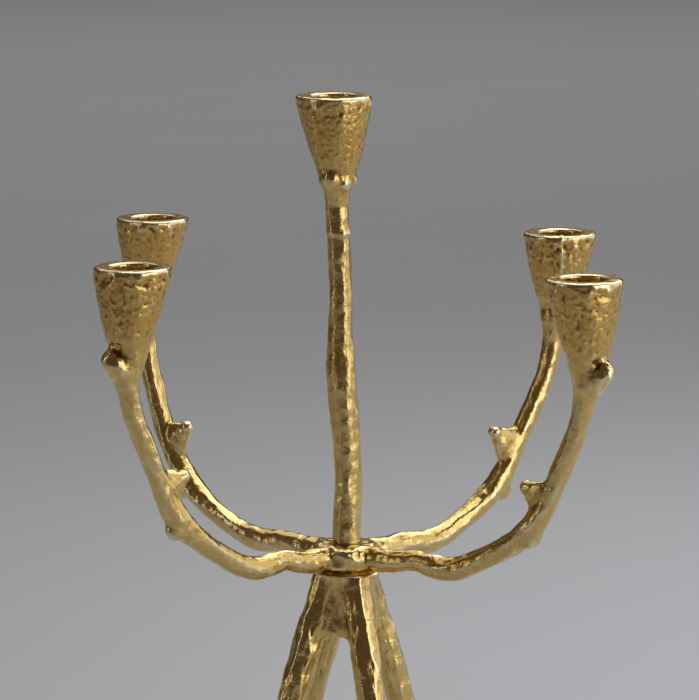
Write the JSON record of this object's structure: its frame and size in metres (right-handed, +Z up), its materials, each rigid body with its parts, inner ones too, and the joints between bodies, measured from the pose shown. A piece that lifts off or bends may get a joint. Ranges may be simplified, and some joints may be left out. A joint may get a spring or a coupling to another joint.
{
  "type": "tabletop candelabra",
  "caption": "Cast gold branch candelabra: tulip candle cups on thorned, upswept arms and a tall stem, clamped by a tie rod on splayed branch legs.",
  "frame": {"origin": "on the table, under the axis of the tie rod", "axes": "+Z up along the tie rod, +X to the right and -Y towards the viewer in the picture"},
  "size_m": [0.2575, 0.2114, 0.444],
  "materials": {
    "gold_branch": "sand-cast aluminium, polished and plated antique gold, lumpy with smooth highlights",
    "gold_cup": "sand-cast aluminium plated antique gold, pebbly with a paler worn rim",
    "zinc_steel": "bright zinc plate",
    "felt": "pressed wool felt"
  },
  "bodies": {
    "base": {"leg_crown": "gold_branch", "leg_right": "gold_branch", "leg_back": "gold_branch", "leg_left": "gold_branch", "leg_front": "gold_branch", "foot_pad_right": "felt", "foot_pad_back": "felt", "foot_pad_left": "felt", "foot_pad_front": "felt", "washer": "zinc_steel"},
    "arm_cross": {"arm_hub": "gold_branch", "arm_front_left": "gold_branch", "arm_front_right": "gold_branch", "arm_back_left": "gold_branch", "arm_back_right": "gold_branch", "candle_cup_front_left": "gold_cup", "candle_cup_front_right": "gold_cup", "candle_cup_back_left": "gold_cup", "candle_cup_back_right": "gold_cup"},
    "stem": {"stem": "gold_branch", "candle_cup_middle": "gold_cup", "tie_rod": "zinc_steel"},
    "nut": {"nut": "zinc_steel"}
  },
  "joints": [
    {"name": "arms_turn", "type": "hinge", "parent": "base", "child": "arm_cross", "pos_m": [0, 0, 0.2], "axis": [0, 0, 1], "continuous": true},
    {"name": "stem_turn", "type": "hinge", "parent": "base", "child": "stem", "pos_m": [0, 0, 0.2132], "axis": [0, 0, 1], "continuous": true},
    {"name": "nut_turn", "type": "hinge", "parent": "stem", "child": "nut", "pos_m": [0, 0, 0.1755], "axis": [0, 0, 1], "continuous": true}
  ]
}
